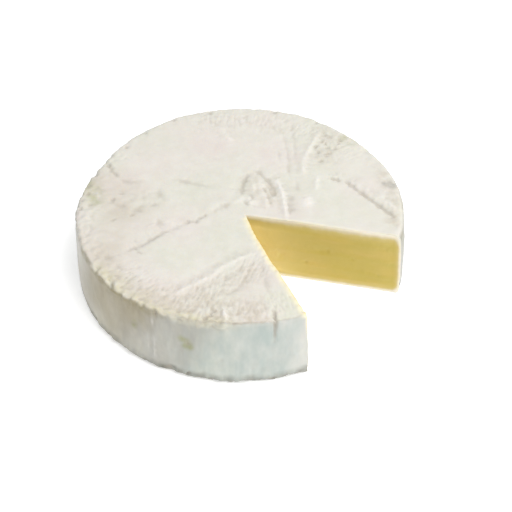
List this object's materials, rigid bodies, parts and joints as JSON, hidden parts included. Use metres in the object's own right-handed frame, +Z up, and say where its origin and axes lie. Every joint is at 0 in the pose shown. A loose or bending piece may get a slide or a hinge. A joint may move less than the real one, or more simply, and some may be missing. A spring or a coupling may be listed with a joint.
{
  "type": "brie",
  "caption": "Small round of soft white-rind cheese on a flat base, with a folded, uneven rind and one wedge cut out down to the middle.",
  "frame": {"origin": "middle of the bounding box, at the flat base the wheel rests on", "axes": "+Z up through the wheel; the notch opens towards +X and -Y"},
  "size_m": [0.1728, 0.1732, 0.042],
  "materials": {
    "rind": "matt bloomy mould rind, warm white"
  },
  "bodies": {
    "root": {"brie_wheel": "rind"}
  },
  "joints": []
}
